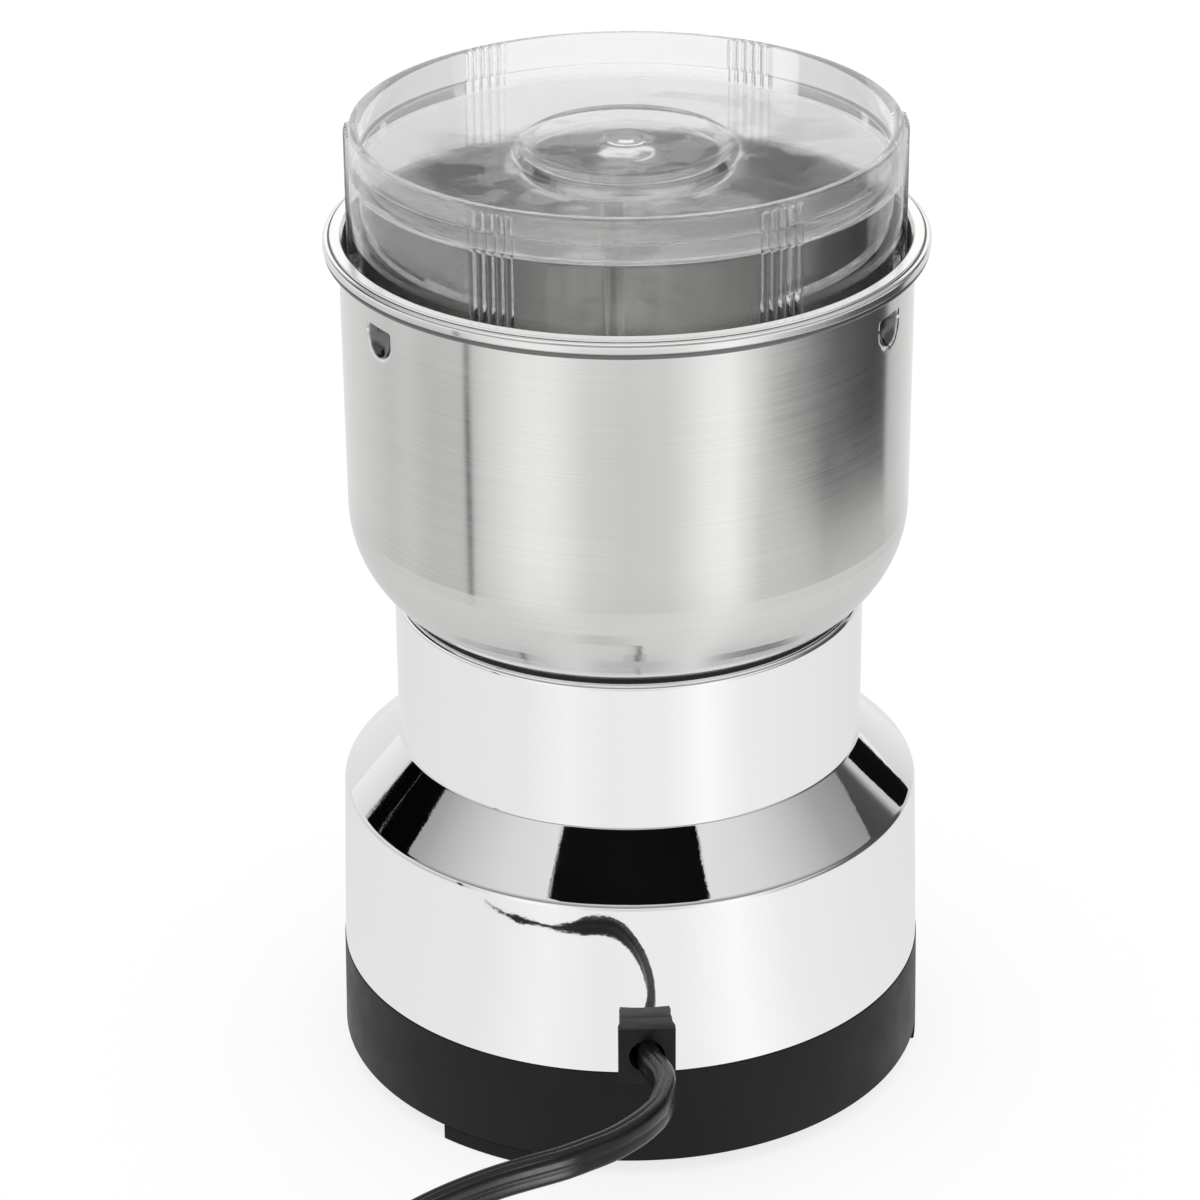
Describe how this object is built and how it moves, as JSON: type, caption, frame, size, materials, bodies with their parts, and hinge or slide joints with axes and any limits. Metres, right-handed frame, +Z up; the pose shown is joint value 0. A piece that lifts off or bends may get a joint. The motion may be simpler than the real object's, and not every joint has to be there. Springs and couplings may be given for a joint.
{
  "type": "electric spice grinder",
  "caption": "Small electric spice grinder: a steel grinding cup with a clear lid on a plated housing with its motor, a push button and a flat lead with plug",
  "frame": {"origin": "centre of the footprint, on the table under the feet", "axes": "+Z up along the motor shaft, -Y towards the push button at the front, +Y towards the lead at the back, +X to the right seen from the back"},
  "size_m": [0.1121, 0.2185, 0.1676],
  "materials": {
    "clear_plastic": "clear moulded plastic, polished",
    "stainless_steel": "satin stainless steel",
    "chrome_plating": "bright plated",
    "black_plastic": "black moulded plastic with a fine grain",
    "black_rubber": "soft black rubber",
    "zinc_steel": "zinc plated steel",
    "felt": "oiled felt",
    "core_steel": "stacked steel sheets",
    "copper_winding": "enamelled copper wire",
    "cast_aluminium": "die cast",
    "bronze": "sintered bronze and brass sheet",
    "white_plastic": "natural nylon",
    "carbon": "carbon",
    "red_plastic": "moulded plastic",
    "yellow_plastic": "moulded plastic case",
    "wire_insulation": "coloured wire insulation",
    "cord_sheath": "soft black sheath",
    "brass_pins": "bare brass"
  },
  "bodies": {
    "root": {"housing": "chrome_plating", "base": "black_plastic", "feet": "black_rubber", "cover_screws": "zinc_steel", "cup": "stainless_steel", "cup_gasket": "black_rubber", "cup_pad": "black_rubber", "mount_nuts": "zinc_steel", "shaft_bush": "black_rubber", "felt_washer": "felt", "stator_core": "core_steel", "field_coils": "copper_winding", "upper_bracket": "cast_aluminium", "upper_bearing": "bronze", "lower_bracket": "white_plastic", "lower_bearing": "bronze", "motor_screws": "zinc_steel", "motor_cushion": "black_rubber", "brush_holders": "bronze", "carbon_brushes": "carbon", "brush_springs": "zinc_steel", "button_spring": "zinc_steel", "switch_bracket": "white_plastic", "bracket_screws": "zinc_steel", "switch_body": "black_plastic", "capacitor": "yellow_plastic", "wire_connectors": "white_plastic", "inner_wires": "wire_insulation", "strain_relief": "black_rubber", "lead_clamp": "white_plastic", "clamp_screws": "zinc_steel", "lead_inner": "cord_sheath", "cord": "cord_sheath", "cord_coil": "cord_sheath", "plug_body": "cord_sheath", "plug_pins": "brass_pins"},
    "rotor": {"motor_shaft": "zinc_steel", "rotor_core": "core_steel", "rotor_windings": "copper_winding", "commutator": "copper_winding", "cooling_fan": "white_plastic", "blade": "stainless_steel", "blade_nut": "stainless_steel"},
    "lid": {"lid": "clear_plastic"},
    "button": {"push_button": "black_plastic"},
    "plunger": {"switch_plunger": "red_plastic"}
  },
  "joints": [
    {"name": "rotor_spin", "type": "hinge", "parent": "root", "child": "rotor", "pos_m": [0, 0, 0.06], "axis": [0, 0, 1], "continuous": true},
    {"name": "lid_lift", "type": "slide", "parent": "root", "child": "lid", "axis": [0, 0, 1], "range_m": [0, 0.06]},
    {"name": "button_press", "type": "slide", "parent": "root", "child": "button", "axis": [0, 1, 0], "range_m": [0, 0.002], "stiffness_N_per_m": 600, "springref_m": -0.003, "deforming": ["button_spring"]},
    {"name": "plunger_travel", "type": "slide", "parent": "root", "child": "plunger", "axis": [0, 1, 0], "range_m": [0, 0.002]}
  ],
  "couplings": [
    {"joint": "plunger_travel", "follows": "button_press", "ratio": 1}
  ]
}
